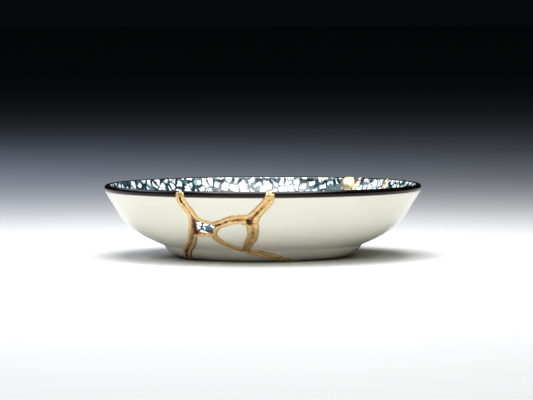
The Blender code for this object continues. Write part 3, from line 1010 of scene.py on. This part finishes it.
def flower_print(tree, place):
    """Small five-petalled flowers: how far a point lies in a petal, in its outline and in the heart."""
    _, local = scattered(tree, place, 0.15, 0.7)
    parts = node(tree, "ShaderNodeSeparateXYZ", {"Vector": local})
    angle = sum_of(tree, "ARCTAN2", parts.outputs["Y"], parts.outputs["X"])
    lobe = sum_of(tree, "ABSOLUTE", sum_of(tree, "COSINE", sum_of(tree, "MULTIPLY", angle, 2.5)))
    edge = sum_of(tree, "MULTIPLY_ADD", lobe, 0.012, 0.016)
    out = vector_sum(tree, "LENGTH", local).outputs["Value"]
    beyond = sum_of(tree, "SUBTRACT", out, edge)
    petals = ranged(tree, beyond, (0.001, -0.003), (0.0, 1.0))
    outline = ranged(tree, beyond, (0.008, 0.004), (0.0, 0.85))
    heart = ranged(tree, out, (0.009, 0.005), (0.0, 1.0))
    return petals, outline, heart


def leaf_print(tree, place):
    """Pairs of pointed leaves that grow towards the rim: how far a point lies in one, and its pale rays."""
    centre, local = scattered(tree, place, 0.29, 0.6)
    outwards = vector_sum(tree, "NORMALIZE", centre)
    along = vector_sum(tree, "DOT_PRODUCT", local, outwards).outputs["Value"]
    crossed = vector_sum(tree, "CROSS_PRODUCT", local, outwards)
    aside = vector_sum(tree, "LENGTH", crossed).outputs["Value"]
    across = sum_of(tree, "ABSOLUTE", sum_of(tree, "SUBTRACT", aside, 0.027))
    reach = sum_of(tree, "MULTIPLY", along, 1 / 0.045)
    room = sum_of(tree, "MULTIPLY_ADD", sum_of(tree, "MULTIPLY", reach, reach), -0.025, 0.025)
    leaf = ranged(tree, sum_of(tree, "SUBTRACT", room, across), (-0.001, 0.003), (0.0, 1.0))
    ray = sum_of(tree, "ABSOLUTE", sum_of(tree, "SINE", sum_of(tree, "MULTIPLY", across, 480.0)))
    fade = ranged(tree, reach, (-0.6, 0.9), (0.0, 0.55))
    rays = sum_of(tree, "MULTIPLY", ranged(tree, ray, (0.45, 0.95), (0.0, 1.0)), fade)
    return leaf, rays


def printed_glaze():
    """Under-glaze print in teal ink on white: pebbles with soft washes, leaves in pairs and small flowers."""
    made, tree = new_material("teal_print_under_glaze")
    place = node(tree, "ShaderNodeUVMap", uv_map="print").outputs["UV"]
    wobble = noise_at(tree, place, 32.0, 2.0, noise_dimensions="2D")
    centred = vector_sum(tree, "SUBTRACT", wobble.outputs["Color"], (0.5, 0.5, 0.0))
    nudge = node(tree, "ShaderNodeVectorMath", {0: centred, "Scale": 0.022}, operation="SCALE")
    spot = vector_sum(tree, "ADD", place, nudge)

    pebbles = node(
        tree, "ShaderNodeTexVoronoi", {"Vector": spot, "Scale": 1 / 0.044, "Randomness": 0.85},
        voronoi_dimensions="2D", feature="DISTANCE_TO_EDGE",
    )
    crowd = noise_at(tree, place, 11.0, 1.0, noise_dimensions="2D")
    line = ranged(tree, crowd, (0.36, 0.64), (0.07, 0.25))
    beyond_line = sum_of(tree, "SUBTRACT", pebbles.outputs["Distance"], line)
    pebble = ranged(tree, beyond_line, (-0.015, 0.035), (0.0, 1.0))
    beside = ranged(tree, beyond_line, (0.02, 0.16), (0.45, 0.0))

    clouds = noise_at(tree, place, 28.0, 3.0, noise_dimensions="2D")
    wash = ranged(tree, clouds, (0.50, 0.66), (0.0, 0.9))
    blot = ranged(tree, clouds, (0.68, 0.80), (0.0, 0.6))
    white = hex_colour("#F2F4F1")
    pale = hex_colour("#A9BCC0")
    teal = hex_colour("#54747D")
    ink = hex_colour("#142C36")
    shaded = mixed(tree, sum_of(tree, "MAXIMUM", wash, beside), white, pale)
    soft_ink = mixed(tree, wash, ink, teal)
    ground = mixed(tree, pebble, soft_ink, shaded)
    blotted = mixed(tree, blot, ground, teal)

    leaf, rays = leaf_print(tree, spot)
    leaf_colour = mixed(tree, rays, hex_colour("#15303A"), hex_colour("#7F9BA0"))
    with_leaves = mixed(tree, leaf, blotted, leaf_colour)
    petals, outline, heart = flower_print(tree, spot)
    with_outline = mixed(tree, outline, with_leaves, soft_ink)
    with_petals = mixed(tree, petals, with_outline, white)
    colour = mixed(tree, heart, with_petals, teal)
    return finished(made, {"Base Color": colour, "Roughness": 0.12, "IOR": 1.5})


def gold_lacquer():
    """Gold powder dusted on wet lacquer: satin, uneven metal, with red-brown lacquer in the hollows, darker
    as painted shade.
    """
    made, tree = new_material("gold_powder_on_lacquer")
    place = node(tree, "ShaderNodeTexCoord").outputs["Object"]
    patches = noise_at(tree, place, 1 / 0.0016, 3.0)
    gold = mixed(tree, patches, hex_colour("#F4D8A2"), hex_colour("#DDB374"))
    hollow = node(tree, "ShaderNodeAttribute", attribute_name="hollow").outputs["Fac"]
    flakes = noise_at(tree, place, 1 / 0.0007, 2.0)
    flakes.inputs["Roughness"].default_value = 0.6
    ragged = sum_of(tree, "MULTIPLY_ADD", flakes, 1.9, -0.97)
    deep = sum_of(tree, "ADD", hollow, ragged)
    bare_and_shaded = ranged(tree, deep, (0.42, 0.60), (0.0, 1.0))
    # Painted shade: the deeper the hollow, the darker the lacquer, down to near black
    painted_shade = ranged(tree, deep, (0.75, 1.35), (0.0, 1.0))
    lacquer = mixed(tree, painted_shade, hex_colour("#97531F"), hex_colour("#2E1208"))
    colour = mixed(tree, bare_and_shaded, gold, lacquer)
    metal = ranged(tree, bare_and_shaded, (0.0, 1.0), (1.0, 0.2))
    grain = noise_at(tree, place, 1 / 0.0005, 3.0)
    gloss = ranged(tree, grain, (0.0, 1.0), (0.26, 0.48))
    bump = bumped(tree, 0.9, 0.25 * MM, grain)
    return finished(made, {"Base Color": colour, "Metallic": metal, "Roughness": gloss, "Normal": bump})


def polished_gold():
    """The round fill: the same gold burnished smooth, so it catches the light."""
    made, tree = new_material("burnished_gold")
    place = node(tree, "ShaderNodeTexCoord").outputs["Object"]
    drift = noise_at(tree, place, 1 / 0.003, 2.0)
    colour = mixed(tree, drift, hex_colour("#FFEBC2"), hex_colour("#F6D190"))
    gloss = ranged(tree, drift, (0.0, 1.0), (0.34, 0.44))
    return finished(made, {"Base Color": colour, "Metallic": 1.0, "Roughness": gloss})


GLAZE, ENAMEL, PRINT, BARE = range(4)


def finish_faces(dish):
    """Gives each face of the turned dish its finish, by where it lies on the outline."""
    for face in dish.data.polygons:
        radius = math.hypot(face.center.x, face.center.y)
        outwards = (face.normal.x * face.center.x + face.normal.y * face.center.y) / max(radius, 1e-9)
        near_lip = face.center.z > HEIGHT - BAND_OUTSIDE
        beyond_lip = radius > RADIUS - WALL / 2
        if near_lip and (beyond_lip or face.center.z > HEIGHT - BAND_INSIDE):
            face.material_index = ENAMEL
        elif face.normal.z > 0.0 and not (outwards > 0.0 and radius > FOOT_LAND_RADIUS):
            face.material_index = PRINT
        elif face.center.z < 0.01 * MM:
            face.material_index = BARE
        else:
            face.material_index = GLAZE


def add_print_map(mesh_data):
    """A map of the inside as if it were spread flat: bearing kept, distance measured along the porcelain."""
    places = places_of(mesh_data)
    along, _ = nearest_on_outline(places)
    radius = np.hypot(places[:, 0], places[:, 1])
    spread = (ALONG[-1] - along) / np.maximum(radius, 1e-9) / PRINT_UNIT
    flat = places[:, :2] * spread[:, None]
    layer = mesh_data.uv_layers.new(name="print")
    corners = np.empty(len(mesh_data.loops), dtype=np.int32)
    mesh_data.loops.foreach_get("vertex_index", corners)
    layer.data.foreach_set("uv", flat[corners].ravel())


def parted(dish):
    """Separates the loose parts of the cut dish, and returns them."""
    only(dish)
    edit_whole_mesh()
    bpy.ops.mesh.separate(type="LOOSE")
    bpy.ops.object.mode_set(mode="OBJECT")
    return list(bpy.context.selected_objects)


def without_crumbs(thing):
    """Drops the crumbs that the cuts left loose, and returns the main part under its name."""
    name = thing.name
    parts = sorted(parted(thing), key=lambda part: len(part.data.vertices))
    for crumb in parts[:-1]:
        bpy.data.objects.remove(crumb, do_unlink=True)
    main_part = only(parts[-1])
    main_part.name = name
    return main_part


def make_shards(finishes, walls):
    """The dish turned, cut along its cracks and parted. A seed inside each shard says which part is which."""
    dish = turned("dish", 0.0, 0.0)
    for finish in finishes:
        dish.data.materials.append(finish)
    finish_faces(dish)
    for face in walls.data.polygons:
        face.material_index = BARE
    cut(dish, walls, keep=True)
    cut(dish, level_prism("window", WINDOW_BEARING, WINDOW_OUTLINE, WINDOW_LINING))
    cut(dish, fill_cylinder("chip", FILL_ROOM))
    cut(dish, level_prism("notch", FILL_PLACE[0], NOTCH_OUTLINE, 0.0))
    parts = parted(dish)
    made = []
    for name, seed in SHARD_SEEDS.items():
        ray = (on_table(*seed) - FOCUS).normalized()
        hits = [(part.ray_cast(FOCUS, ray), part) for part in parts]
        shard = next(part for hit, part in hits if hit[0])
        parts.remove(shard)
        shard.name = name + "_glazed"
        only(shard)
        bpy.ops.object.shade_smooth_by_angle(angle=math.radians(35))
        add_print_map(shard.data)
        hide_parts(name)
        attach(shard, "root")
        made.append(shard)
    for crumb in parts:
        bpy.data.objects.remove(crumb, do_unlink=True)
    return made


def hollows(mesh_data):
    """How deep in a hollow of the lacquer each vertex lies, with the painted dark patches added: the share of
    lacquer brown and painted shade.
    """
    places = places_of(mesh_data)
    along, heights = nearest_on_outline(places)
    level = np.where(along < LIP_TOP, relief_at(places[:, 2]) - DARK_BELOW, DARK_BELOW_INSIDE)
    made = (level - heights) / DARK_DEPTH
    for bearing, reach, radius, strength in DARK_PATCHES:
        gap = places - np.array(on_surface(on_table(bearing, reach)))
        made += strength * np.exp(-(gap**2).sum(axis=1) / radius**2)
    return np.clip(made, 0.0, 2.4)


def make_gold_seams(finish, walls):
    """All the gold in the cracks: beads, groove fills and webs in one skin, then cut at the window."""
    seams = joined("gold_seam_beads", gold_strands())
    fused(seams, GOLD_VOXEL)
    lumps(seams, "lumps", LUMP, LUMP_HEIGHT)
    lumps(seams, "grains", GRAIN, GRAIN_HEIGHT)
    cut(seams, turned("core", -GOLD_SUNK, -GOLD_SUNK))
    cut(seams, gold_webs(walls), "UNION")
    for cutter in pit_cutters():
        cut(seams, cutter)
    cut(seams, level_prism("window", OPENING_BEARING, OPENING_OUTLINE, 0.0))
    cut(seams, fill_cylinder("fill_room", FILL_ROOM))
    cut(seams, level_prism("notch", FILL_PLACE[0], NOTCH_OUTLINE, 0.0))
    bpy.ops.mesh.primitive_cube_add(
        size=1.0, location=(0, 0, TABLE_GAP - HEIGHT / 2), scale=(3 * RADIUS, 3 * RADIUS, HEIGHT),
    )
    cut(seams, set_solid())
    seams = without_crumbs(seams)
    bpy.ops.object.shade_smooth_by_angle(angle=math.radians(50))
    layer = seams.data.attributes.new("hollow", "FLOAT", "POINT")
    layer.data.foreach_set("value", hollows(seams.data).astype(np.float32))
    seams.data.materials.clear()
    seams.data.materials.append(finish)
    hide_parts("gold_seams")
    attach(seams, "root")
    return seams


def make_gold_fill(finish):
    """The round fill of the lost chip: a domed pillow of gold, thicker than the wall."""
    fill = turned("gold_chip_pillow", FILL_PROUD, FILL_PROUD)
    cut(fill, fill_cylinder("round", 0.0), "INTERSECT")
    centre, axis = fill_frame()
    bpy.ops.mesh.primitive_uv_sphere_add(
        segments=48, ring_count=24, radius=1.0, location=centre,
        rotation=axis.to_track_quat("Z", "Y").to_euler(), scale=FILL_DOME,
    )
    cut(fill, set_solid(), "UNION")
    fused(fill, FILL_VOXEL)
    soften = fill.modifiers.new("soften", "SMOOTH")
    soften.factor = 0.5
    soften.iterations = 10
    apply_modifiers(fill)
    bpy.ops.object.shade_smooth()
    fill.data.materials.clear()
    fill.data.materials.append(finish)
    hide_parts("gold_chip_fill")
    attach(fill, "root")
    return fill


def make_floor():
    """A plain pale floor."""
    bpy.ops.mesh.primitive_plane_add(size=40.0, location=(0, 0, 0))
    floor = bpy.context.object
    floor.name = "floor"
    made, _ = new_material("pale_studio_floor")
    floor.data.materials.append(finished(made, {"Base Color": hex_colour("#CFD0D0"), "Roughness": 0.8}))


def make_light(name, place, aim, size, power, colour="#FFFFFF"):
    """A soft box: a flat light turned towards a point, not seen by the camera."""
    bpy.ops.object.light_add(type="AREA", location=place)
    lamp = bpy.context.object
    lamp.name = name
    lamp.data.shape = "RECTANGLE"
    lamp.data.size, lamp.data.size_y = size
    lamp.data.energy = power
    lamp.data.color = hex_colour(colour)[:3]
    lamp.rotation_euler = (Vector(aim) - Vector(place)).to_track_quat("-Z", "Y").to_euler()
    lamp.visible_camera = False
    return lamp


def make_world():
    """A dim grey studio round the soft light."""
    world = bpy.data.worlds.new("studio")
    bpy.context.scene.world = world
    world.use_nodes = True
    world.node_tree.nodes["Background"].inputs["Color"].default_value = hex_colour("#08090A")


def make_camera():
    """The photograph's view: level with the rim, from the front."""
    bpy.ops.object.camera_add(location=(CAMERA_ASIDE, -CAMERA_DISTANCE, CAMERA_HEIGHT))
    camera = bpy.context.object
    camera.data.lens = LENS
    camera.data.sensor_width = SENSOR
    camera.data.clip_start = 0.05
    camera.data.clip_end = 60.0
    camera.rotation_euler = (math.radians(90 - CAMERA_DIP), math.radians(CAMERA_ROLL), 0.0)
    bpy.context.scene.camera = camera


def main():
    """The whole scene: the dish in its finishes, the gold, the floor and the light."""
    make_camera()
    walls = crack_walls()
    make_shards([cream_glaze(), black_enamel(), printed_glaze(), unglazed_foot()], walls)
    make_gold_seams(gold_lacquer(), walls)
    make_gold_fill(polished_gold())
    make_floor()
    make_light("overhead_softbox", (0.0, 0.0, 0.42), (0.0, 0.0, 0.0), (0.38, 0.38), 3.7)
    make_light("front_softbox", (0.0, -0.72, 0.60), (0.0, -0.72, 0.0), (1.0, 1.0), 7.6)
    make_light("left_softbox", (-0.39, 0.08, 0.37), (0.044, 0.061, 0.03), (0.3, 0.3), 0.5)
    make_light("back_softbox", (-0.55, 0.62, 0.60), (-0.35, 0.62, 0.0), (0.8, 0.3), 2.0, "#C9DCFF")
    make_world()
    bpy.context.scene.view_settings.view_transform = "Standard"


main()
